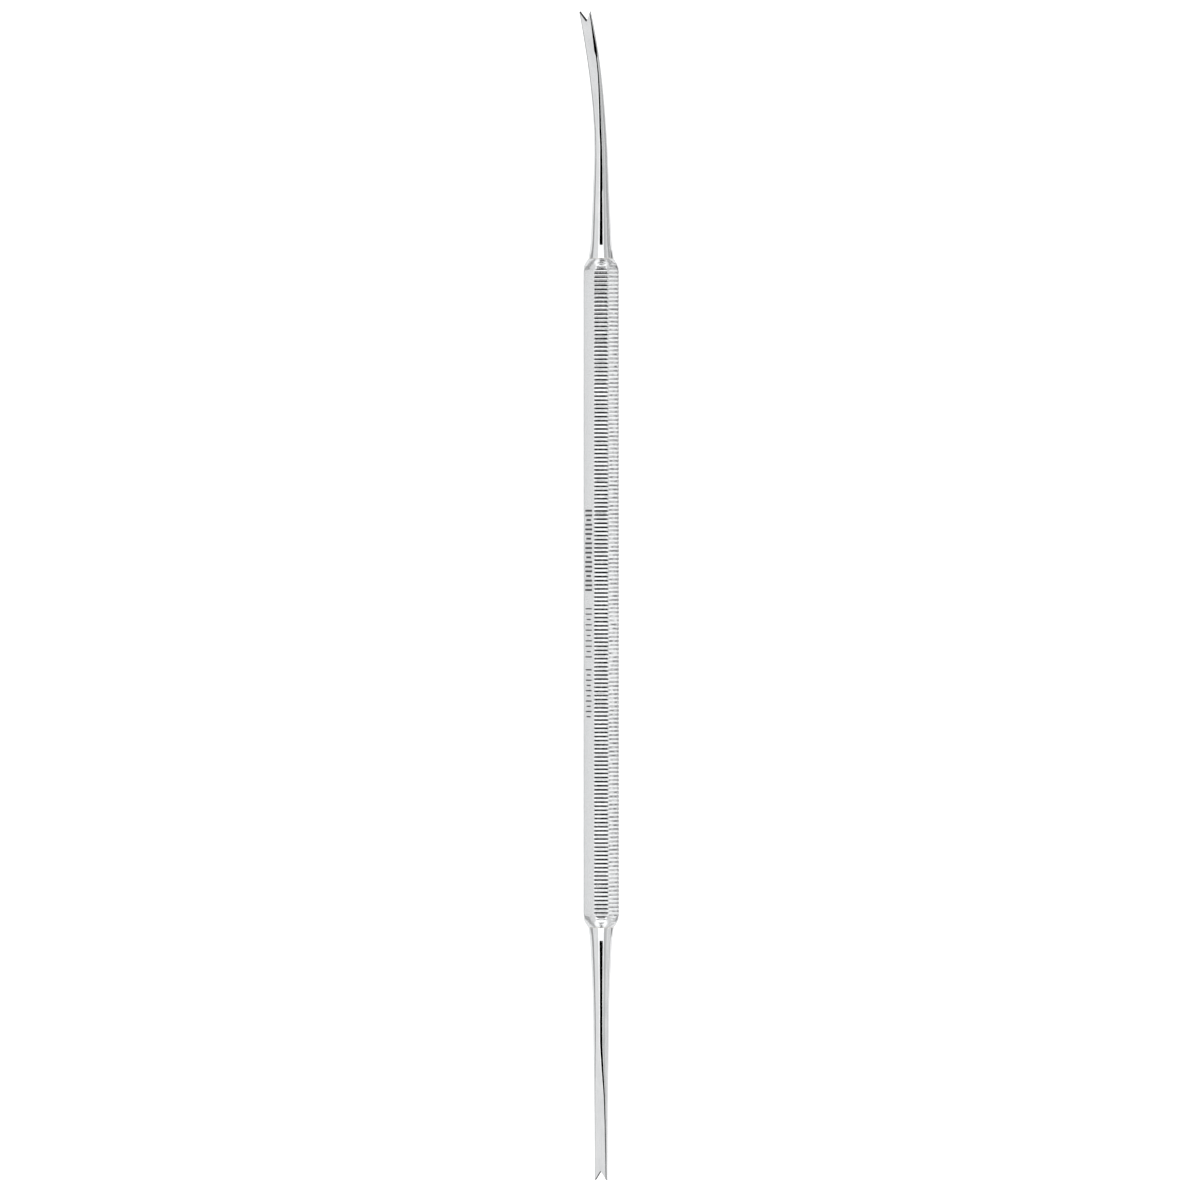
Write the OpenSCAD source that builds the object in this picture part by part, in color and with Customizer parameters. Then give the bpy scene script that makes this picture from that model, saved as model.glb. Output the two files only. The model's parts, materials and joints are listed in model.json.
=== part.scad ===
// Double-ended cuticle pusher: an octagonal bar handle with brazed-in forked working ends.
// Millimetres. The handle lies along X on one of its flats: that flat is z = 0 and its middle
// is the origin. +X runs to the curved end, +Z is up and +Y is to the left of the handle.

/* [Handle] */
// length of the octagonal bar between its two end faces
handle_length = 97.6; // [80:0.2:120]
// distance between two opposite flats
across_flats = 5.15; // [5:0.05:7]
// length of the rounding turned on each end of the bar
end_round_length = 2.4; // [1.5:0.1:3.5]
// radius of the round end face where a working end joins on
nose_radius = 1.87; // [1.8:0.01:2]

/* [Serrations] */
// spacing of the cross grooves
serration_pitch = 0.598; // [0.5:0.002:1.2]
// width of one groove at the face
groove_width = 0.28; // [0.2:0.01:0.4]
// depth of one groove
groove_depth = 0.1; // [0.05:0.01:0.16]

/* [Etched marks] */
// depth of the plain etched bars on the smooth face
etch_depth = 0.03; // [0.02:0.01:0.06]
// height of the tallest etched bars across the face
etch_height = 1.4; // [0.6:0.05:1.5]

/* [Joints] */
// radius of the drilled socket in each end of the handle
socket_radius = 1.3; // [1.1:0.05:1.45]
// full-width depth of each socket
socket_depth = 11; // [8:0.5:16]
// brazing gap round the tang
braze_gap = 0.02; // [0.01:0.01:0.05]
// thickness of the braze ring between the handle and a working end
braze_thickness = 0.1; // [0.05:0.01:0.2]
// length of the tang inside its socket
tang_length = 10.4; // [7:0.2:15]

/* [Curved end] */
// length of the curved working end, measured along the handle
curved_reach = 35.7; // [30:0.1:40]
// where its bend starts, measured from the handle
bend_start = 13; // [8:0.5:18]
// how far the tip stands away from the handle's line
bend_offset = 6.1; // [2:0.1:8]
// half the width of the curved blade
curved_half_width = 0.93; // [0.85:0.01:1.1]

/* [Straight end] */
// length of the straight working end, measured from the handle
straight_reach = 36.8; // [30:0.1:40]
// half the width of the straight blade
straight_half_width = 1.01; // [0.9:0.01:1.15]

/* [Blades and notches] */
// turn of both blades about the handle's line, from the top flat towards +Y
blade_turn = 22.5; // [0:0.5:45]
// half the thickness of each blade at its tip
tip_half_thickness = 0.25; // [0.15:0.01:0.4]
// depth of the V notch in each tip
notch_depth = 1.35; // [0.8:0.05:1.8]
// width of the land left at each point of the fork
fork_point = 0.12; // [0.08:0.01:0.2]

/* [Hidden] */

steel = [0.80, 0.81, 0.82];
bright_steel = [0.86, 0.87, 0.88];
silver_braze = [0.88, 0.86, 0.80];

flat_radius = across_flats / 2;
corner_radius = flat_radius / cos(22.5);
axis_z = flat_radius;
half_length = handle_length / 2;
tang_radius = socket_radius - braze_gap;

// ---- end rounding of the bar ----
// the arc starts at the nose and meets the octagon's corners end_round_length further in
round_rise = corner_radius - nose_radius;
round_radius = (end_round_length * end_round_length + round_rise * round_rise) / (2 * round_rise);
round_centre = corner_radius - round_radius;

// radius of the rounding at a distance from the nose
function end_radius(d) = d >= end_round_length
    ? corner_radius
    : round_centre + sqrt(round_radius * round_radius - pow(end_round_length - max(d, 0), 2));

// how far the crown of the rounding lies below a flat
function crown_drop(x) = max(0, flat_radius - end_radius(half_length - abs(x)));

round_steps = 12;
half_profile = [for (i = [0 : round_steps])
    let (d = end_round_length * i / round_steps)
    [end_radius(d) + (i == round_steps ? 0.02 : 0), d]];
bar_profile = concat(
    [[0, 0]],
    half_profile,
    [[corner_radius + 0.5, end_round_length + 0.3]],
    [[corner_radius + 0.5, handle_length - end_round_length - 0.3]],
    [for (i = [round_steps : -1 : 0]) [half_profile[i][0], handle_length - half_profile[i][1]]],
    [[0, handle_length]]
);

module bar() {
    translate([-half_length, 0, axis_z])
        rotate([0, 90, 0])
            intersection() {
                rotate([0, 0, 22.5])
                    cylinder(h = handle_length, r = corner_radius, $fn = 8);
                rotate_extrude($fn = 96)
                    polygon(bar_profile);
            }
}

// ---- serrations ----
// one comb for each serrated face: turn about X from the top flat towards -Y, shift and pitch
combs = [
    [0, 0.5, 1],
    [45, 0.3, 0.9985],
    [90, 0.85, 1.0005],
    [135, 0.15, 0.999],
    [180, 0.5, 1],
    [225, 0.7, 1.001]
];
comb_clear = 0.03;
comb_top = 0.4;
tooth_half = groove_width / 2 * (1 + comb_clear / groove_depth);
last_groove = half_length - 0.42;

function groove_places(shift, pitch) =
    let (n = floor(last_groove / pitch) + 1)
    [for (k = [-n : n]) if (abs((k + shift) * pitch) <= last_groove) (k + shift) * pitch];

function comb_points(places) = concat(
    [[-half_length - 1, comb_top]],
    [[-half_length - 1, comb_clear - crown_drop(half_length) + 0.02]],
    [for (x = places) each [
        [x - tooth_half, comb_clear - crown_drop(x - tooth_half)],
        [x, -groove_depth - crown_drop(x)],
        [x + tooth_half, comb_clear - crown_drop(x + tooth_half)]
    ]],
    [[half_length + 1, comb_clear - crown_drop(half_length) + 0.02]],
    [[half_length + 1, comb_top]]
);

module comb(turn, shift, pitch) {
    translate([0, 0, axis_z])
        rotate([turn, 0, 0])
            translate([0, 0, flat_radius])
                rotate([90, 0, 0])
                    linear_extrude(height = across_flats * 0.5, center = true)
                        polygon(comb_points(groove_places(shift, pitch)));
}

// ---- etched marks on the smooth face: plain bars in three groups ----
// each bar is [distance from the middle along X, length along X, share of the full height]
etch_bars = concat(
    [for (i = [0 : 17]) [12 - i * 0.68, 0.3, i % 4 == 2 ? 0.7 : 1]],
    [for (i = [0 : 9]) [-2.3 - i * 0.78, 0.18, i % 3 == 2 ? 0.6 : 0.92]],
    [for (i = [0 : 9]) [-11.2 - i * 0.76, 0.2, i % 2 == 0 ? 0.85 : 0.6]]
);

module etched_marks() {
    translate([0, 0, axis_z])
        rotate([-45, 0, 0])
            translate([0, 0, flat_radius - etch_depth])
                linear_extrude(height = 0.5)
                    for (b = etch_bars)
                        translate([b[0], 0])
                            square([b[1], etch_height * b[2]], center = true);
}

module socket(side) {
    translate([side * half_length, 0, axis_z])
        rotate([0, -90 * side, 0])
            translate([0, 0, -0.5])
                rotate_extrude($fn = 64)
                    polygon([
                        [0, 0],
                        [socket_radius, 0],
                        [socket_radius, socket_depth + 0.5],
                        [0, socket_depth + 0.5 + socket_radius * 0.6]
                    ]);
}

module handle() {
    color(steel)
        difference() {
            bar();
            for (c = combs) comb(c[0], c[1], serration_pitch * c[2]);
            etched_marks();
            socket(1);
            socket(-1);
        }
}

// ---- working ends, built along local +X from the handle's end face ----
// tang: chamfered tip, two filler grooves, plain shoulder side
tang_profile = [
    [0, -tang_length],
    [tang_radius - 0.3, -tang_length],
    [tang_radius, -tang_length + 0.3],
    [tang_radius, -tang_length + 2],
    [tang_radius - 0.1, -tang_length + 2.1],
    [tang_radius - 0.1, -tang_length + 2.6],
    [tang_radius, -tang_length + 2.7],
    [tang_radius, -3.2],
    [tang_radius - 0.1, -3.1],
    [tang_radius - 0.1, -2.6],
    [tang_radius, -2.5],
    [tang_radius, 1],
    [0, 1]
];

module tang() {
    difference() {
        rotate([0, 90, 0])
            rotate_extrude($fn = 64)
                polygon(tang_profile);
        // flat that lets the air out of the blind socket
        translate([-tang_length - 1, -2, tang_radius - 0.12])
            cube([tang_length + 1 - 0.4, 4, 2]);
    }
}

// a smooth curve through stations [distance, value], by cubic pieces
function slope_at(t, i) =
    let (a = max(i - 1, 0), b = min(i + 1, len(t) - 1))
    (t[b][1] - t[a][1]) / (t[b][0] - t[a][0]);
function piece_of(t, s) = max([0, for (i = [0 : len(t) - 2]) if (s >= t[i][0]) i]);
function curve_at(t, s) =
    let (
        i = piece_of(t, s),
        w = t[i + 1][0] - t[i][0],
        u = min(max((s - t[i][0]) / w, 0), 1),
        p = t[i][1],
        q = t[i + 1][1],
        a = slope_at(t, i) * w,
        b = slope_at(t, i + 1) * w
    )
    p * (2 * u * u * u - 3 * u * u + 1) + a * (u * u * u - 2 * u * u + u)
        + q * (3 * u * u - 2 * u * u * u) + b * (u * u * u - u * u);

// radius of the round shank, then half width of the blade
curved_widths = [
    [0, nose_radius],
    [0.9, 1.74],
    [1.9, 1.6],
    [3.2, 1.51],
    [8.9, 1.265],
    [16.2, 1.01],
    [22, curved_half_width],
    [30.5, curved_half_width + 0.025],
    [curved_reach, curved_half_width - 0.02]
];
straight_widths = [
    [0, nose_radius],
    [0.9, 1.75],
    [1.9, 1.63],
    [3.2, 1.55],
    [5, 1.465],
    [10.8, 1.25],
    [18, straight_half_width + 0.14],
    [25.3, straight_half_width + 0.045],
    [32.6, straight_half_width],
    [straight_reach, straight_half_width - 0.02]
];

// half thickness between the two ground flats
curved_depths = [
    [12, 1.3],
    [15.5, 1.02],
    [19, 0.94],
    [23, 0.76],
    [27.5, 0.5],
    [32, 0.43],
    [34.4, 0.3],
    [curved_reach, tip_half_thickness]
];
straight_depths = [
    [12, 1.45],
    [16, 1.2],
    [18.5, 1.08],
    [20.8, 0.92],
    [25, 0.58],
    [32.5, 0.33],
    [straight_reach, tip_half_thickness]
];

// ---- curved end: rings swept along the bend ----
bend_run = curved_reach - bend_start;
function bend_height(s) = s <= bend_start ? 0 : bend_offset * pow((s - bend_start) / bend_run, 2);
function bend_angle(s) = s <= bend_start
    ? 0
    : atan(2 * bend_offset * (s - bend_start) / (bend_run * bend_run));

side_steps = 14;
face_steps = 8;

// one ring: two round sides and two flats, as [across the blade, through the blade]
function ring_section(a, h) =
    let (c = min(80, asin(min(h / a, 1))), f = a * cos(c))
    concat(
        [for (i = [0 : side_steps]) let (t = -c + 2 * c * i / side_steps) [a * cos(t), a * sin(t)]],
        [for (i = [1 : face_steps - 1]) let (u = f * (1 - 2 * i / face_steps))
            [u, min(h, sqrt(a * a - u * u))]],
        [for (i = [0 : side_steps]) let (t = 180 - c + 2 * c * i / side_steps)
            [a * cos(t), a * sin(t)]],
        [for (i = [1 : face_steps - 1]) let (u = f * (2 * i / face_steps - 1))
            [u, -min(h, sqrt(a * a - u * u))]]
    );

ring_places = concat(
    [0, 0.45, 0.9, 1.4, 1.9, 2.5, 3.2, 4.6, 6.5, 8.9, 11, bend_start],
    [for (i = [1 : 22]) bend_start + bend_run * i / 22]
);
ring_size = 2 * (side_steps + 1) + 2 * (face_steps - 1);
ring_count = len(ring_places);

curved_points = [for (s = ring_places)
    let (
        a = curve_at(curved_widths, s),
        h = s < 12 ? a : curve_at(curved_depths, s),
        t = bend_angle(s)
    )
    for (q = ring_section(a, h)) [s - q[1] * sin(t), q[0], bend_height(s) + q[1] * cos(t)]
];
// an end cap is strips of triangles between one half of the ring and the other, mirrored
cap_start = side_steps / 2;
cap_end = cap_start + ring_size / 2;
function mirrored(i) = (2 * cap_end - i) % ring_size;
cap = [for (i = [cap_start : cap_end - 1])
    for (t = [[i, i + 1, mirrored(i + 1)], [i, mirrored(i + 1), mirrored(i)]])
        if (t[0] != t[1] && t[1] != t[2] && t[0] != t[2]) t];
last_ring = (ring_count - 1) * ring_size;
curved_faces = concat(
    cap,
    [for (r = [0 : ring_count - 2])
        for (i = [0 : ring_size - 1])
            let (j = (i + 1) % ring_size, p = r * ring_size, q = p + ring_size)
            for (k = [0, 1]) k == 0 ? [p + i, q + i, q + j] : [p + i, q + j, p + j]],
    [for (t = cap) [last_ring + t[2], last_ring + t[1], last_ring + t[0]]]
);

// V notch through the blade at local X = 0, open towards +X
module notch(half_width) {
    linear_extrude(height = 4, center = true)
        polygon([
            [-notch_depth, 0.03],
            [-notch_depth, -0.03],
            [0, fork_point - half_width],
            [0.6, fork_point - half_width - 0.2],
            [0.6, half_width + 0.2 - fork_point],
            [0, half_width - fork_point]
        ]);
}

module curved_working_end() {
    color(bright_steel)
        translate([half_length, 0, axis_z])
            rotate([-blade_turn, 0, 0])
                difference() {
                    union() {
                        tang();
                        translate([braze_thickness, 0, 0])
                            polyhedron(points = curved_points, faces = curved_faces, convexity = 4);
                    }
                    translate([curved_reach + braze_thickness, 0, bend_offset])
                        rotate([0, -bend_angle(curved_reach), 0])
                            notch(curved_half_width - 0.02);
                }
}

// ---- straight end: a turned shank ground flat on two sides ----
straight_steps = 40;
straight_profile = concat(
    [[0, 0]],
    [for (i = [0 : straight_steps])
        let (s = straight_reach * pow(i / straight_steps, 1.3))
        [curve_at(straight_widths, s), s]],
    [[0, straight_reach]]
);
flat_places = [for (i = [0 : 22]) 12 + (straight_reach - 12) * i / 22];
straight_side = concat(
    [[-1, 3]],
    [[11.5, 3]],
    [for (s = flat_places) [s, curve_at(straight_depths, s)]],
    [[straight_reach + 1, tip_half_thickness]],
    [[straight_reach + 1, -tip_half_thickness]],
    [for (i = [22 : -1 : 0]) [flat_places[i], -curve_at(straight_depths, flat_places[i])]],
    [[11.5, -3]],
    [[-1, -3]]
);

module straight_working_end() {
    color(bright_steel)
        translate([-half_length, 0, axis_z])
            rotate([-blade_turn, 0, 0])
                mirror([1, 0, 0])
                    difference() {
                        union() {
                            tang();
                            translate([braze_thickness, 0, 0])
                                intersection() {
                                    rotate([0, 90, 0])
                                        rotate_extrude($fn = 96)
                                            polygon(straight_profile);
                                    rotate([90, 0, 0])
                                        linear_extrude(height = 8, center = true)
                                            polygon(straight_side);
                                }
                        }
                        translate([straight_reach + braze_thickness, 0, 0])
                            notch(straight_half_width - 0.02);
                    }
}

// ---- braze rings: flush with the handle's end face and the shank ----
module braze_ring() {
    rotate_extrude($fn = 96)
        polygon([
            [tang_radius, 0],
            [nose_radius, 0],
            [nose_radius, braze_thickness],
            [tang_radius, braze_thickness]
        ]);
}

module curved_end_braze_ring() {
    color(silver_braze)
        translate([half_length, 0, axis_z])
            rotate([0, 90, 0])
                braze_ring();
}

module straight_end_braze_ring() {
    color(silver_braze)
        translate([-half_length, 0, axis_z])
            rotate([0, -90, 0])
                braze_ring();
}

handle();
curved_working_end();
straight_working_end();
curved_end_braze_ring();
straight_end_braze_ring();
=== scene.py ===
"""Looks for the double-ended cuticle pusher: an octagonal serrated steel handle with a bent and a
straight forked working end. Lengths are in millimetres until mesh_object() turns them into metres,
except those of modifiers, bump nodes and the camera, which are in metres.
Frame: the handle lies along X on one flat at z = 0, +X runs to the bent end, +Z is up."""

import json
import math

import bpy
import numpy as np
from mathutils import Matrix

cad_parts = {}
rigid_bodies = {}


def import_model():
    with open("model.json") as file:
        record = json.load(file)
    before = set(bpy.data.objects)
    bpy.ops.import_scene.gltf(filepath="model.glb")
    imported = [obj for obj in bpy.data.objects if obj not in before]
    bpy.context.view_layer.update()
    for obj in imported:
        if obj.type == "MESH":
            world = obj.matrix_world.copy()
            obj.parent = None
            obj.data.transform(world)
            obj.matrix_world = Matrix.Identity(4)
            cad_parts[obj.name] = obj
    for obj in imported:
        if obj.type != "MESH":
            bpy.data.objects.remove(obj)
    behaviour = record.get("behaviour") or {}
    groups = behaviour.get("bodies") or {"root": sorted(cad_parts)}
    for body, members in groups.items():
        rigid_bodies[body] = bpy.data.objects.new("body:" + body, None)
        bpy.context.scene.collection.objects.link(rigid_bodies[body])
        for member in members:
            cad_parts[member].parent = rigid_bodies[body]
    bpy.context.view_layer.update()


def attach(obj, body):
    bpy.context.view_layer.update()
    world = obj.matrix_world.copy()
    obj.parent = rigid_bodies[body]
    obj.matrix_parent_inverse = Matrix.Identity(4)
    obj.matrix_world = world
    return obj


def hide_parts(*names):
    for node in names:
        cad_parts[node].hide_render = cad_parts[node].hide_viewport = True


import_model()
rng = np.random.default_rng(20)

# ---- sizes, as in the CAD ----
ACROSS = 5.15
FLAT = ACROSS / 2
CORNER = FLAT / math.cos(math.radians(22.5))
HALF = 48.8
END_ROUND = 2.4
NOSE = 1.87
PITCH = 0.598
GROOVE = 0.28
DEPTH = 0.1
SOCKET_R = 1.3
SOCKET_L = 11.0
TANG_R = 1.28
TANG_L = 10.4
BRAZE = 0.1
TURN = math.radians(22.5)
CURVED_REACH, BEND_START, BEND_OFFSET, CURVED_W = 35.7, 13.0, 6.1, 0.93
STRAIGHT_REACH, STRAIGHT_W = 36.8, 1.01
TIP_H = 0.25
NOTCH = 1.35
FORK = 0.12

# ---- finer detail than the CAD has ----
SHARP_ANGLE = 55  # degrees between faces, above which an edge isn't shaded smooth
GROOVE_SOFT = 0.0035  # rounding where a groove meets its land
GROOVE_FLOOR = 0.006  # rounding at the bottom of a groove
LEAN = 0.014  # usual slope of a land
MAX_LEAN = 0.004  # most that a leaning land rises or falls, and how far all lands lie below the flat
DEPTH_SPREAD, RIGHT_DEPTH_SPREAD, WAVER = 0.05, 0.09, 0.09  # spread of groove depths, as shares of the depth
RIGHT_FACE = 1  # the face turned 45 degrees towards -Y
NO_GROOVE = 0.36  # length at each end of the handle that no groove reaches
CORNER_SOFT, CROWN_SOFT = 0.026, 0.01  # rounding of the octagon's corners, and where it meets the end rounding
TIP_ZONE = 4.0  # length of blade in which the mesh lines run to the V notch


def mesh_object(name, points, faces, smooth=True):
    """A Blender mesh from points in millimetres."""
    me = bpy.data.meshes.new(name)
    corners = [tuple(int(i) for i in f) for f in faces]
    me.from_pydata((np.asarray(points) / 1000).tolist(), [], corners)
    me.validate()
    me.update()
    if smooth:
        me.shade_smooth()
        me.set_sharp_from_angle(angle=math.radians(SHARP_ANGLE))
    ob = bpy.data.objects.new(name, me)
    bpy.context.scene.collection.objects.link(ob)
    return ob


def grid_faces(rows, cols, start=0):
    """Quads of a grid of points that closes on itself across its columns."""
    r, c = np.meshgrid(np.arange(rows - 1), np.arange(cols), indexing="ij")
    a = start + r * cols + c
    b = start + r * cols + (c + 1) % cols
    return np.stack([a, a + cols, b + cols, b], -1).reshape(-1, 4)


# ---- handle ----
# faces are numbered in steps of 45 degrees from the top flat towards -Y
# (shift, pitch factor) of the serrations on each serrated face
COMBS = {0: (0.5, 1), 1: (0.3, 0.9985), 2: (0.85, 1.0005), 3: (0.15, 0.999), 4: (0.5, 1), 5: (0.7, 1.001)}
# the two smooth faces have no grooves, only mesh lines that run on between their neighbours' grooves
MESH_LINES = {**COMBS, 6: (0.63, 1.0), 7: (0.57, 1.0)}
FIRST_K, LAST_K = -81, 80
K = np.arange(FIRST_K, LAST_K + 1)

round_rise = CORNER - NOSE
round_radius = (END_ROUND**2 + round_rise**2) / (2 * round_rise)


def end_radius(d):
    """Radius of the turned rounding at distance d from the end face."""
    t = np.clip(END_ROUND - np.maximum(d, 0), 0, END_ROUND)
    r = CORNER - round_radius + np.sqrt(round_radius**2 - t**2)
    return np.where(d >= END_ROUND, r + (d - END_ROUND) * 0.5, r)


def crown_drop(x):
    return np.maximum(0, FLAT - end_radius(HALF - np.abs(x)))


def soft_min(values, k):
    """Smooth smallest of several arrays: rounds the corner where two surfaces meet."""
    v = np.stack(values)
    low = v.min(0)
    return low - k * np.log(np.exp(-(v - low) / k).sum(0))


# every groove is cut a little differently
cut = {}
for f in COMBS:
    spread = RIGHT_DEPTH_SPREAD if f == RIGHT_FACE else DEPTH_SPREAD
    cut[f] = {"deep": 1 + rng.normal(0, spread, K.size), "tilt": rng.normal(0, LEAN, K.size + 1)}
# and those of the right-hand face also waver across it
waver = rng.normal(0, WAVER, (3, K.size))


def groove_depth(face, x, t):
    """How far face's surface is cut below its flat at x, in mm. t is the distance from the face's middle."""
    shift, factor = COMBS[face]
    p = PITCH * factor
    k = np.clip(np.round(x / p - shift).astype(int), FIRST_K, LAST_K)
    u = np.abs(x - (k + shift) * p)
    near = (np.sqrt(u * u + GROOVE_FLOOR**2) - GROOVE_FLOOR) / (GROOVE / 2)
    deep = DEPTH * cut[face]["deep"][k - FIRST_K]
    if face == RIGHT_FACE:
        s = np.clip(t / 1.07, -1, 1)
        w = waver[:, k - FIRST_K]
        deep = deep * (0.72 + 0.28 * s**2 + w[0] * np.sin(3 * s) + w[1] * np.cos(5 * s) + w[2] * np.sin(7 * s))
    g = GROOVE_SOFT * np.logaddexp(0, deep * (1 - near) / GROOVE_SOFT)
    # each land leans a little, as milled
    j = np.clip(np.floor(x / p - shift).astype(int) + 1 - FIRST_K, 0, K.size)
    side = x - (j + FIRST_K - 0.5 + shift) * p
    return g + np.clip(side * cut[face]["tilt"][j], -MAX_LEAN, MAX_LEAN) + MAX_LEAN


# columns: places across each face, close together at the corners, with more on the two faces seen best.
# past BLEND_FROM a column's stations move over to those of the next face, so the mesh closes at the corner
half_face = FLAT * math.tan(math.radians(22.5))
FINE_ACROSS = [0.0, 0.28, 0.55, 0.8, 0.86, 0.92, 0.97, 1.02]
PLAIN_ACROSS = [0.0, 0.8, 0.9, 0.97, 1.02]
BLEND_FROM = 0.8
columns = []
for f in range(8):
    across = FINE_ACROSS if f < 2 else PLAIN_ACROSS
    places = sorted([-a for a in across[1:]] + across) + [half_face]
    for t in places:
        mix = 0.0 if abs(t) <= BLEND_FROM else (abs(t) - BLEND_FROM) / (half_face - BLEND_FROM) * 0.5
        columns.append((f, t, math.copysign(mix, t)))

# mesh lines around each groove, then one in the middle of the land
around = [0.04, 0.1, 0.135, 0.16, 0.185, 0.22]
offsets = np.array([-a for a in around[::-1]] + [0.0] + around + [0.299])


def face_stations(f):
    """X of every station on face f, grooves first to last, then two tails that run out to the end faces."""
    shift, factor = MESH_LINES[f]
    p = PITCH * factor
    x = ((K + shift) * p)[:, None] + offsets * factor
    x = x.reshape(-1)
    tail = np.linspace(0, 1, 12)[1:]
    left = -HALF + (x[0] + HALF) * (1 - tail[::-1])
    right = x[-1] + (HALF - x[-1]) * tail if x[-1] < HALF else np.full(tail.size, HALF)
    return np.clip(np.concatenate([left, x, right]), -HALF, HALF)


stations = {f: face_stations(f) for f in range(8)}
cols_x = []
for f, t, mix in columns:
    other = (f + (1 if mix > 0 else -1)) % 8
    cols_x.append(stations[f] * (1 - abs(mix)) + stations[other] * abs(mix))
X = np.stack(cols_x, 1)
turns = np.array([math.radians(45 * f) + math.atan(t / FLAT) for f, t, _ in columns])
theta = turns[None, :].repeat(X.shape[0], 0)

surfaces = []
for f in range(8):
    turn = np.cos(theta - math.radians(45 * f))
    if f in COMBS:
        g = groove_depth(f, X, FLAT * np.tan(np.clip(theta - math.radians(45 * f), -0.6, 0.6)))
        cut_here = (np.abs(X) < HALF - NO_GROOVE).astype(float)
        low = FLAT - g * cut_here - np.where(g > 0.006, crown_drop(X), 0) * cut_here
    else:
        low = np.full(X.shape, FLAT)
    surfaces.append(np.where(turn > 0.3, low / np.maximum(turn, 0.3), 99.0))
R = soft_min(surfaces, CORNER_SOFT)
R = soft_min([R, end_radius(HALF - np.abs(X))], CROWN_SOFT)
R[0] = R[-1] = NOSE

rows, cols = X.shape
pts = np.stack([X, -R * np.sin(theta), FLAT + R * np.cos(theta)], -1).reshape(-1, 3)
faces = [grid_faces(rows, cols)]
# end faces and sockets: rings of [distance inwards from the end face, radius], then a centre point
bore = [(0.0, SOCKET_R + 0.05), (0.05, SOCKET_R), (SOCKET_L, SOCKET_R)]
extra, n = [], len(pts)
for side in (-1, 1):
    first = n
    for d, r in bore:
        th = theta[0]
        extra.append(np.stack([np.full(cols, side * (HALF - d)), -r * np.sin(th), FLAT + r * np.cos(th)], -1))
        n += cols
    extra.append(np.array([[side * (HALF - SOCKET_L - SOCKET_R * 0.6), 0, FLAT]]))
    n += 1
    edge = 0 if side < 0 else (rows - 1) * cols
    i = np.arange(cols)
    j = (i + 1) % cols
    flip = -1 if side > 0 else 1
    quads = [np.stack([edge + j, first + j, first + i, edge + i], -1)[:, ::flip]]
    for b in range(len(bore) - 1):
        s = first + b * cols
        quads.append(np.stack([s + j, s + cols + j, s + cols + i, s + i], -1)[:, ::flip])
    faces += quads
    last = first + (len(bore) - 1) * cols
    tips = np.stack([last + j, np.full(cols, n - 1), last + i], -1)[:, ::flip]
    faces.append(tips)
pts = np.concatenate([pts] + extra)
all_faces = [f for block in faces for f in block.tolist()]
handle = mesh_object("handle_bar", pts, all_faces)
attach(handle, "root")
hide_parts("handle")


# ---- working ends ----
def smooth_table(table, s):
    """A smooth curve through (distance, value) stations, as the CAD draws it."""
    t = np.asarray(table, float)
    a = np.maximum(np.arange(len(t)) - 1, 0)
    b = np.minimum(np.arange(len(t)) + 1, len(t) - 1)
    slope = (t[b, 1] - t[a, 1]) / (t[b, 0] - t[a, 0])
    i = np.clip(np.searchsorted(t[:, 0], s, side="right") - 1, 0, len(t) - 2)
    w = t[i + 1, 0] - t[i, 0]
    u = np.clip((s - t[i, 0]) / w, 0, 1)
    return (
        t[i, 1] * (2 * u**3 - 3 * u**2 + 1)
        + slope[i] * w * (u**3 - 2 * u**2 + u)
        + t[i + 1, 1] * (3 * u**2 - 2 * u**3)
        + slope[i + 1] * w * (u**3 - u**2)
    )


CURVED_WIDTHS = [(0, NOSE), (0.9, 1.74), (1.9, 1.6), (3.2, 1.51), (8.9, 1.265), (16.2, 1.01), (22, CURVED_W),
                 (30.5, CURVED_W + 0.025), (CURVED_REACH, CURVED_W - 0.02)]
STRAIGHT_WIDTHS = [(0, NOSE), (0.9, 1.75), (1.9, 1.63), (3.2, 1.55), (5, 1.465), (10.8, 1.25),
                   (18, STRAIGHT_W + 0.14), (25.3, STRAIGHT_W + 0.045), (32.6, STRAIGHT_W),
                   (STRAIGHT_REACH, STRAIGHT_W - 0.02)]
CURVED_DEPTHS = [(12, 1.3), (15.5, 1.02), (19, 0.94), (23, 0.76), (27.5, 0.5), (32, 0.43), (34.4, 0.3),
                 (CURVED_REACH, TIP_H)]
STRAIGHT_DEPTHS = [(12, 1.45), (16, 1.2), (18.5, 1.08), (20.8, 0.92), (25, 0.58), (32.5, 0.33),
                   (STRAIGHT_REACH, TIP_H)]


QUARTER = 36


def section(a, h):
    """A quarter of a blade's section from the middle of its flat to its side: a flat, a soft edge and a
    round side, in equal steps. Half width a, half thickness h. Returns points (across, through)."""
    h = min(h, a)
    soft = 0.9 * h
    centre = math.sqrt(max((a - soft) ** 2 - (h - soft) ** 2, 0))
    low = math.atan2(h - soft, centre)
    edge = soft * (math.pi / 2 - low)
    points = []
    for i in range(QUARTER + 1):
        d = i / QUARTER * (centre + edge + a * low)
        if d < centre:
            points.append((d, h))
        elif d < centre + edge:
            t = (d - centre) / soft
            points.append((centre + soft * math.sin(t), h - soft + soft * math.cos(t)))
        else:
            t = low - (d - centre - edge) / a
            points.append((a * math.cos(t), a * math.sin(t)))
    return points


def ring(a, h):
    """The whole section, once round from the middle of the top flat."""
    right = section(a, h)
    q = right
    under = [(u, -v) for u, v in q[-2::-1]]
    left_under = [(-u, -v) for u, v in q[1:]]
    left = [(-u, v) for u, v in q[-2:0:-1]]
    return np.array(right + under + left_under + left)


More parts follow.
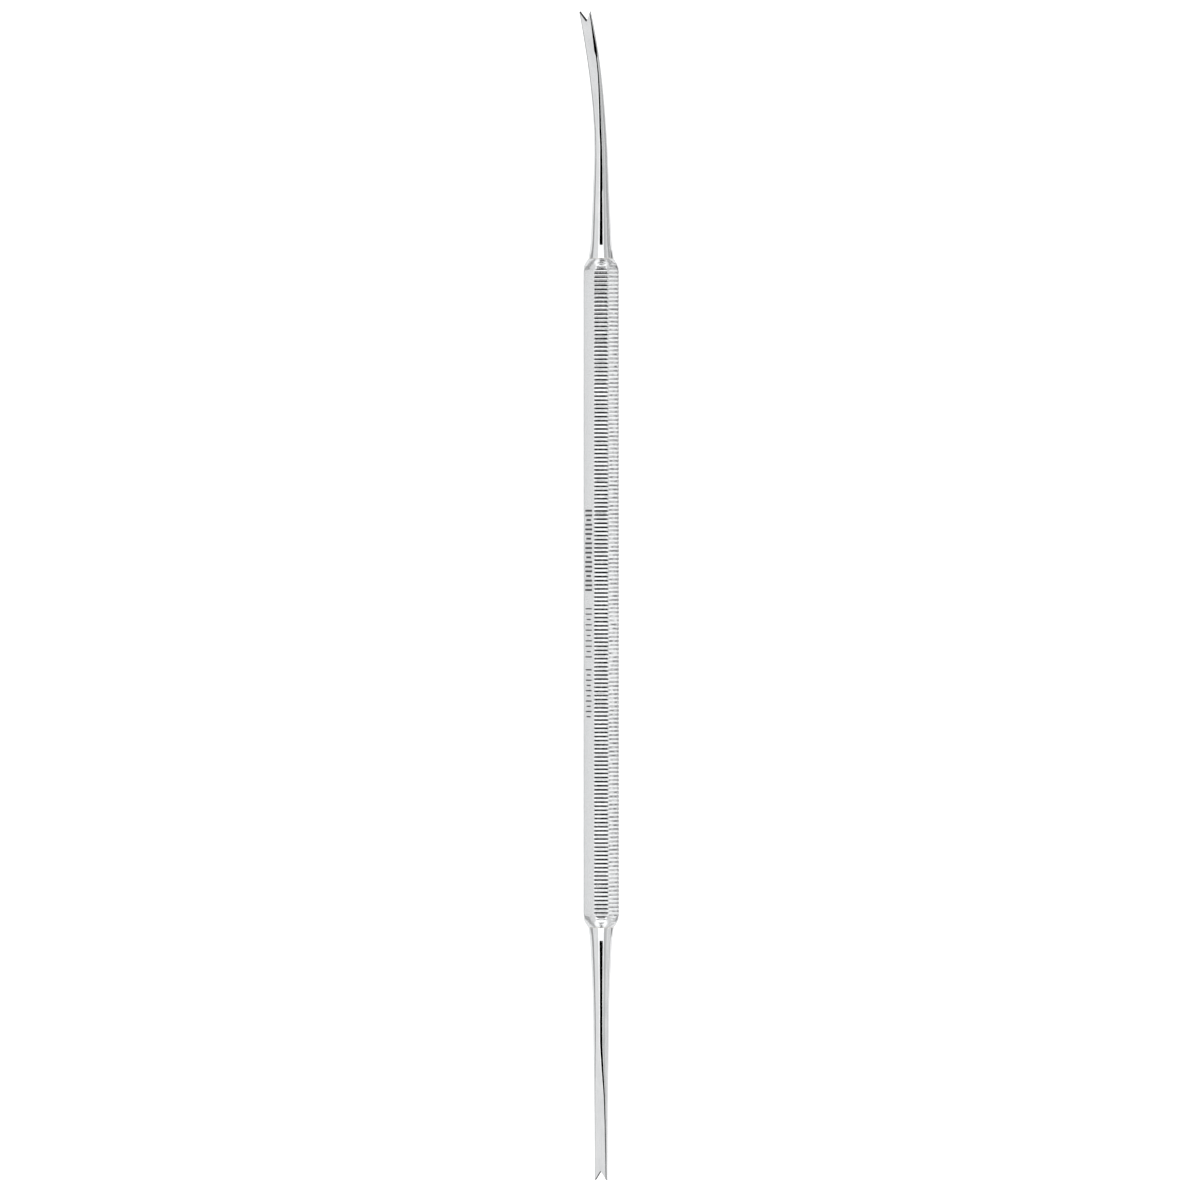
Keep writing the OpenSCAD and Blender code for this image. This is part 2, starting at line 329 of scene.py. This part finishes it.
def working_end(name, reach, widths, depths, bend_start, bend_offset, half_w, side):
    """One working end as a single closed mesh: tang, shoulder, shank and forked blade."""
    run = reach - bend_start

    def bend(s):
        return bend_offset * (max(s - bend_start, 0) / run) ** 2

    def angle(s):
        return math.atan(2 * bend_offset * max(s - bend_start, 0) / run**2)

    def notch_cut(u):
        """How much shorter the blade is at distance u from its middle, for the V and the rounded points."""
        v = NOTCH * (1 - (math.sqrt(u * u + 0.05**2) - 0.02) / (half_w - FORK))
        past = (abs(u) - half_w + FORK * 0.5) / (FORK * 0.5)
        point = 0.0 if abs(u) < half_w - FORK * 0.5 else 0.12 * past**2
        return 0.5 * (v + math.sqrt(v * v + 0.02**2)) + min(point, 0.15)

    points = []
    # tang, from its tip out to the shoulder
    inner = TANG_R - 0.1
    chamfer = [(TANG_L, 0.5), (TANG_L, TANG_R - 0.3), (TANG_L - 0.3, TANG_R)]
    grooves = [(TANG_L - 2, TANG_R), (TANG_L - 2.1, inner), (TANG_L - 2.6, inner), (TANG_L - 2.7, TANG_R),
               (3.2, TANG_R), (3.1, inner), (2.6, inner), (2.5, TANG_R), (0.0, TANG_R), (-BRAZE, TANG_R)]
    for d, r in chamfer + grooves:
        points.append([(-d, u, v) for u, v in ring(r, r)])
    places = [0.0, 0.2, 0.45, 0.9, 1.4, 1.9, 2.5, 3.2, 4.2, 5.4, 6.8, 8.2, 9.6, 11, 12.2, 13]
    places += [13 + (reach - TIP_ZONE - 13) * i / 44 for i in range(1, 45)]
    for s in places:
        a = float(smooth_table(widths, s))
        h = a if s < 12 else min(float(smooth_table(depths, s)), a)
        t = angle(s)
        points.append([(BRAZE + s - v * math.sin(t), u, bend(s) + v * math.cos(t)) for u, v in ring(a, h)])
    # tip zone: each line of the blade runs to its own length, so the V is cut clean
    steps = [i / 26 for i in range(1, 26)] + [1.0]
    start = reach - TIP_ZONE
    for w in steps:
        row = []
        s_tip = start + TIP_ZONE * w
        a = float(smooth_table(widths, s_tip))
        h = min(float(smooth_table(depths, s_tip)), a)
        for u, v in ring(a, h):
            s = start + (TIP_ZONE - notch_cut(u)) * w
            hs = min(float(smooth_table(depths, s)), float(smooth_table(widths, s))) / h
            t = angle(s)
            row.append((BRAZE + s - v * hs * math.sin(t), u, bend(s) + v * hs * math.cos(t)))
        points.append(row)
    P = np.array(points)
    rows, cols = P.shape[:2]
    local = P.reshape(-1, 3)
    faces = grid_faces(rows, cols).tolist()
    # caps: strips between the top half of the ring and the lower half below it
    q = cols // 4
    upper = [(3 * q + i) % cols for i in range(2 * q + 1)]
    lower = [(3 * q - i) % cols for i in range(2 * q + 1)]
    for row, flip in ((0, 1), (rows - 1, -1)):
        for i in range(2 * q):
            f = [upper[i], lower[i], lower[i + 1], upper[i + 1]]
            f = [row * cols + x for k, x in enumerate(f) if x not in f[:k]]
            faces.append(f[::flip])
    c, s = math.cos(TURN), math.sin(TURN)
    world = np.stack([
        side * (HALF + local[:, 0]),
        local[:, 1] * c + local[:, 2] * s,
        FLAT - local[:, 1] * s + local[:, 2] * c,
    ], -1)
    if side < 0:
        faces = [f[::-1] for f in faces]
    ob = mesh_object(name, world, faces)
    notch_faces = len(ob.data.polygons) - 2 * q
    bevel = ob.modifiers.new("soft_edges", "BEVEL")
    bevel.limit_method = "ANGLE"
    bevel.angle_limit = math.radians(50)
    bevel.width = 0.00002
    bevel.segments = 2
    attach(ob, "root")
    ob["notch_faces"] = notch_faces
    return ob


curved = working_end("curved_forked_end", CURVED_REACH, CURVED_WIDTHS, CURVED_DEPTHS, BEND_START, BEND_OFFSET,
                     CURVED_W - 0.02, 1)
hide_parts("curved_working_end")
straight = working_end("straight_forked_end", STRAIGHT_REACH, STRAIGHT_WIDTHS, STRAIGHT_DEPTHS, BEND_START, 0.0,
                       STRAIGHT_W - 0.02, -1)
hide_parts("straight_working_end")

# ---- braze rings: a slightly hollow line of filler between handle and shank ----
for name, node, side in (("curved_end_braze", "curved_end_braze_ring", 1),
                         ("straight_end_braze", "straight_end_braze_ring", -1)):
    profile = [(0.0, TANG_R), (0.0, NOSE - 0.004), (0.012, NOSE), (0.035, NOSE - 0.006), (0.05, NOSE - 0.008),
               (0.065, NOSE - 0.006), (0.088, NOSE), (BRAZE, NOSE - 0.004), (BRAZE, TANG_R)]
    n = 96
    t = np.linspace(0, 2 * math.pi, n, endpoint=False)
    pts = np.concatenate([np.stack([np.full(n, side * (HALF + x)), -r * np.sin(t) * side, FLAT + r * np.cos(t)], -1)
                          for x, r in profile])
    faces = grid_faces(len(profile) + 1, n) % len(pts)
    ob = mesh_object(name, pts, faces)
    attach(ob, "root")
    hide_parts(node)

# ---- etched marks: plain bars burnt into the smooth face ----
bars = [(12 - i * 0.68, 0.3, 0.7 if i % 4 == 2 else 1.0) for i in range(18)]
bars += [(-2.3 - i * 0.78, 0.18, 0.6 if i % 3 == 2 else 0.92) for i in range(10)]
bars += [(-11.2 - i * 0.76, 0.2, 0.85 if i % 2 == 0 else 0.6) for i in range(10)]
pts, faces = [], []
turn = math.radians(-45)
for x, length, share in bars:
    hx, hy, r = length / 2, 0.7 * share, min(0.05, length / 3)
    outline = []
    for cx, cy, a0 in ((hx - r, hy - r, 0), (r - hx, hy - r, 90), (r - hx, r - hy, 180), (hx - r, r - hy, 270)):
        outline += [(cx + r * math.cos(math.radians(a0 + d)), cy + r * math.sin(math.radians(a0 + d)))
                    for d in (0, 30, 60, 90)]
    n0, m = len(pts), len(outline)
    for lift, grow in ((-0.02, 1.0), (0.0035, 1.0), (0.005, 0.9)):
        for u, v in outline:
            y, z = v * (1 - (1 - grow) * 0.2), FLAT + lift
            pts.append((x + u * grow, y * math.cos(turn) - z * math.sin(turn),
                        FLAT + y * math.sin(turn) + z * math.cos(turn)))
    for level in (0, 1):
        for i in range(m):
            j = (i + 1) % m
            a = n0 + level * m
            faces.append((a + i, a + j, a + m + j, a + m + i))
    faces.append(tuple(n0 + 2 * m + i for i in range(m)))
    faces.append(tuple(n0 + i for i in range(m))[::-1])
marks = mesh_object("etched_bars", pts, faces)
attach(marks, "root")


# ---- materials ----
class Nodes:
    """Short calls for building a node tree."""

    def __init__(self, name):
        self.mat = bpy.data.materials.new(name)
        self.mat.use_nodes = True
        self.t = self.mat.node_tree
        self.bsdf = self.t.nodes["Principled BSDF"]

    def add(self, kind, inputs=None, **props):
        n = self.t.nodes.new(kind)
        for k, v in props.items():
            setattr(n, k, v)
        for k, v in (inputs or {}).items():
            if isinstance(v, bpy.types.NodeSocket):
                self.t.links.new(v, n.inputs[k])
            else:
                n.inputs[k].default_value = v
        return n

    def coords(self, scale):
        c = self.add("ShaderNodeTexCoord").outputs["Object"]
        return self.add("ShaderNodeMapping", {"Vector": c, "Scale": scale}).outputs["Vector"]

    def noise(self, scale, detail=3.0, rough=0.6, size=1.0):
        return self.add("ShaderNodeTexNoise", {"Vector": self.coords(scale), "Scale": size, "Detail": detail,
                                               "Roughness": rough}).outputs["Fac"]

    def ramp(self, fac, low, high, a=0.3, b=0.7):
        return self.add("ShaderNodeMapRange", {"Value": fac, "From Min": a, "From Max": b, "To Min": low,
                                               "To Max": high}).outputs["Result"]

    def math(self, op, a, b=0.0):
        return self.add("ShaderNodeMath", {0: a, 1: b}, operation=op).outputs[0]

    def mix(self, fac, a, b):
        n = self.add("ShaderNodeMix", data_type="RGBA")
        for k, v in ((0, fac), (6, a), (7, b)):
            if isinstance(v, bpy.types.NodeSocket):
                self.t.links.new(v, n.inputs[k])
            else:
                n.inputs[k].default_value = v
        return n.outputs[2]

    def wire(self, out, name):
        self.t.links.new(out, self.bsdf.inputs[name])


def steel(name, light, dark, rough_low, rough_high, grain, grain_strength, speck):
    """Bare stainless steel: fine grinding marks along grain, clouded gloss and faint specks."""
    m = Nodes(name)
    cloud = m.noise((300, 900, 900), 4.0)
    streak = m.noise(grain, 2.0, 0.7)
    pits = m.noise((9000, 9000, 9000), 1.0, 0.5)
    tone = m.math("ADD", m.math("MULTIPLY", cloud, 0.55), m.math("MULTIPLY", streak, 0.45))
    m.wire(m.mix(m.ramp(tone, 0.0, 1.0, 0.32, 0.68), dark, light), "Base Color")
    rough = m.math("ADD", m.ramp(tone, rough_low, rough_high, 0.3, 0.7), m.ramp(pits, 0.0, speck, 0.62, 0.75))
    m.wire(rough, "Roughness")
    height = m.math("ADD", streak, m.math("MULTIPLY", pits, 0.25))
    bump = m.add("ShaderNodeBump", {"Height": height, "Strength": grain_strength, "Distance": 0.000004})
    m.wire(bump.outputs["Normal"], "Normal")
    m.bsdf.inputs["Metallic"].default_value = 1.0
    return m.mat


handle_steel = steel("serrated_satin_steel", (0.76, 0.765, 0.77, 1), (0.66, 0.67, 0.68, 1), 0.17, 0.3,
                     (600, 14000, 14000), 0.35, 0.1)
polished = steel("polished_steel", (0.8, 0.805, 0.81, 1), (0.68, 0.69, 0.7, 1), 0.025, 0.065,
                 (450, 9000, 9000), 0.25, 0.03)
braze = steel("silver_braze", (0.8, 0.785, 0.75, 1), (0.68, 0.665, 0.63, 1), 0.2, 0.34, (5000, 5000, 5000), 0.3, 0.1)

# painted shade: the V notch walls get a near-black, dull, weakly reflecting colour that stands in for the shade between
# the tines, where each tine hides the floor from the other
m = Nodes("painted_notch_shade")
grain = m.noise((6000, 6000, 6000), 3.0)
m.wire(m.mix(m.ramp(grain, 0.0, 1.0), (0.012, 0.012, 0.013, 1), (0.05, 0.05, 0.052, 1)), "Base Color")
m.wire(m.ramp(grain, 0.55, 0.8), "Roughness")
m.bsdf.inputs["Specular IOR Level"].default_value = 0.15
notch_shade_material = m.mat

m = Nodes("laser_burnt_oxide")
grain = m.noise((9000, 9000, 9000), 3.0)
m.wire(m.mix(m.ramp(grain, 0.0, 1.0), (0.045, 0.045, 0.05, 1), (0.15, 0.15, 0.155, 1)), "Base Color")
m.wire(m.ramp(grain, 0.45, 0.7), "Roughness")
m.bsdf.inputs["Metallic"].default_value = 0.6
oxide = m.mat

for ob in bpy.data.objects:
    if ob.name == "handle_bar":
        ob.data.materials.append(handle_steel)
    elif ob.name in ("curved_forked_end", "straight_forked_end"):
        ob.data.materials.append(polished)
        ob.data.materials.append(notch_shade_material)
        # the faces of the V notch take the near-black painted shade
        for p in ob.data.polygons[ob["notch_faces"]:]:
            p.material_index = 1
    elif ob.name in ("curved_end_braze", "straight_end_braze"):
        ob.data.materials.append(braze)
    elif ob.name == "etched_bars":
        ob.data.materials.append(oxide)

# ---- floor, studio and camera ----
FLOOR, FLOOR_Z = 900, -0.02
floor_corners = [(-FLOOR, -FLOOR, FLOOR_Z), (FLOOR, -FLOOR, FLOOR_Z), (FLOOR, FLOOR, FLOOR_Z), (-FLOOR, FLOOR, FLOOR_Z)]
floor = mesh_object("studio_floor", floor_corners, [(0, 1, 2, 3)], smooth=False)
m = Nodes("pale_floor")
paper = m.noise((900, 900, 900), 4.0)
m.wire(m.mix(m.ramp(paper, 0.0, 1.0), (0.9, 0.9, 0.9, 1), (0.93, 0.93, 0.93, 1)), "Base Color")
m.bsdf.inputs["Roughness"].default_value = 0.9
m.bsdf.inputs["Emission Color"].default_value = (1, 1, 1, 1)
m.bsdf.inputs["Emission Strength"].default_value = 0.5
floor.data.materials.append(m.mat)


def glow(name, corners, strength):
    """A flat card or softbox round the tool, seen only in its reflections."""
    ob = mesh_object(name, corners, [(0, 1, 2, 3)], smooth=False)
    mat = bpy.data.materials.new(name)
    mat.use_nodes = True
    t = mat.node_tree
    t.nodes.clear()
    out = t.nodes.new("ShaderNodeOutputMaterial")
    em = t.nodes.new("ShaderNodeEmission")
    em.inputs["Color"].default_value = (1, 1, 1, 1)
    em.inputs["Strength"].default_value = strength
    t.links.new(em.outputs[0], out.inputs[0])
    ob.data.materials.append(mat)
    ob.visible_camera = ob.visible_diffuse = False


def card(name, x0, x1, y0, y1, z, strength):
    """A level card at height z."""
    glow(name, [(x0, y0, z), (x1, y0, z), (x1, y1, z), (x0, y1, z)], strength)


# a tent of long softboxes round the tool: from angle, to angle, brightness.
# angles are in degrees from straight up, and minus is towards +Y, the left of the picture
TENT = [(-90, -54, 0.97), (-54, -29, 0.95), (-29, 0, 1.5), (0, 27, 1.4), (27, 42, 0.6), (42, 53, 0.66),
        (53, 66, 0.8), (66, 90, 1.4)]
TENT_R, TENT_X = 500, 350
for i, (a0, a1, strength) in enumerate(TENT):
    e = [(-TENT_R * math.sin(math.radians(a)), FLAT + TENT_R * math.cos(math.radians(a))) for a in (a0, a1)]
    glow("tent_%d" % i, [(-TENT_X, *e[0]), (TENT_X, *e[0]), (TENT_X, *e[1]), (-TENT_X, *e[1])], strength)
for side in (-1, 1):
    # a white end of the tent lights the grooves
    glow("tent_end_%d" % (side > 0), [(side * 420, -260, 60), (side * 420, 260, 60), (side * 420, 260, 520),
                                      (side * 420, -260, 520)], 1.6)
    # a small bright wedge over each flare
    glow("wedge_%d" % (side > 0), [(side * 52.4, -0.2, 12), (side * 52.4, 0.2, 12), (side * 50.8, 7, 12),
                                   (side * 50.8, -7, 12)], 1.7)
    # low boards beside the two ends darken the sides of the shanks
    glow("board_left_%d" % (side > 0), [(side * 51, 40, 0), (side * 130, 40, 0), (side * 130, 40, 8),
                                        (side * 51, 40, 8)], 0.4)
    glow("board_right_%d" % (side > 0), [(side * 51, -40, 0), (side * 130, -40, 0), (side * 130, -40, 20),
                                         (side * 51, -40, 20)], 0.5 if side > 0 else 0.85)
# dark slots above the tool give the black line on the shanks and the dark lands
SLOT = math.tan(math.radians(17))
SLOT_Z = 150
card("slot_high", -83, 87, -SLOT_Z * SLOT, SLOT_Z * SLOT, SLOT_Z, 0.0)
glow("slot_straight_end", [(-60, -2.1, 10), (-60, 2.1, 10), (-130, 3.2, 10), (-130, -7, 10)], 0.0)
card("slot_curved_shank", 60, 72.5, -4.6, 3.6, 15, 0.0)
glow("slot_curved_tip", [(76, -12, 9), (76, 4.2, 9), (76, 4.2, 17), (76, -12, 17)], 0.0)
# cards on the table set the tone of the tool's sides: x from, x to, y from, y to, brightness
TABLE_Z = 0.01
for name, x0, x1, y0, y1, strength in (
    ("table_middle", -130, 130, -6, 8, 1.05),
    ("table_left", -51, 51, 8, 60, 0.45),
    ("table_left_0", -130, -51, 10, 39, 0.5),
    ("table_left_1", 51, 130, 10, 39, 0.5),
    ("table_right", -51, 51, -34, -6, 0.2),
    ("table_right_0", -130, -51, -30, -8, 0.7),
    ("table_right_1", 51, 130, -30, -8, 0.5),
):
    card(name, x0, x1, y0, y1, TABLE_Z, strength)

world = bpy.data.worlds.new("white_tent")
bpy.context.scene.world = world
world.use_nodes = True
world.node_tree.nodes["Background"].inputs["Color"].default_value = (1, 1, 1, 1)
world.node_tree.nodes["Background"].inputs["Strength"].default_value = 0.93

MM_WIDE = 1200 / 6.85  # width of the camera's view at the height of the handle's middle
cam_data = bpy.data.cameras.new("photo_camera")
cam_data.lens = 400
cam_data.sensor_width = 36
cam_data.clip_start, cam_data.clip_end = 0.01, 10
cam = bpy.data.objects.new("photo_camera", cam_data)
bpy.context.scene.collection.objects.link(cam)
bpy.context.scene.camera = cam
distance = MM_WIDE / 1000 * cam_data.lens / 36
cam.location = (-0.00102, 0.00017, distance + FLAT / 1000)
cam.rotation_euler = (0, 0, math.radians(-90))
bpy.context.scene.view_settings.view_transform = "Standard"
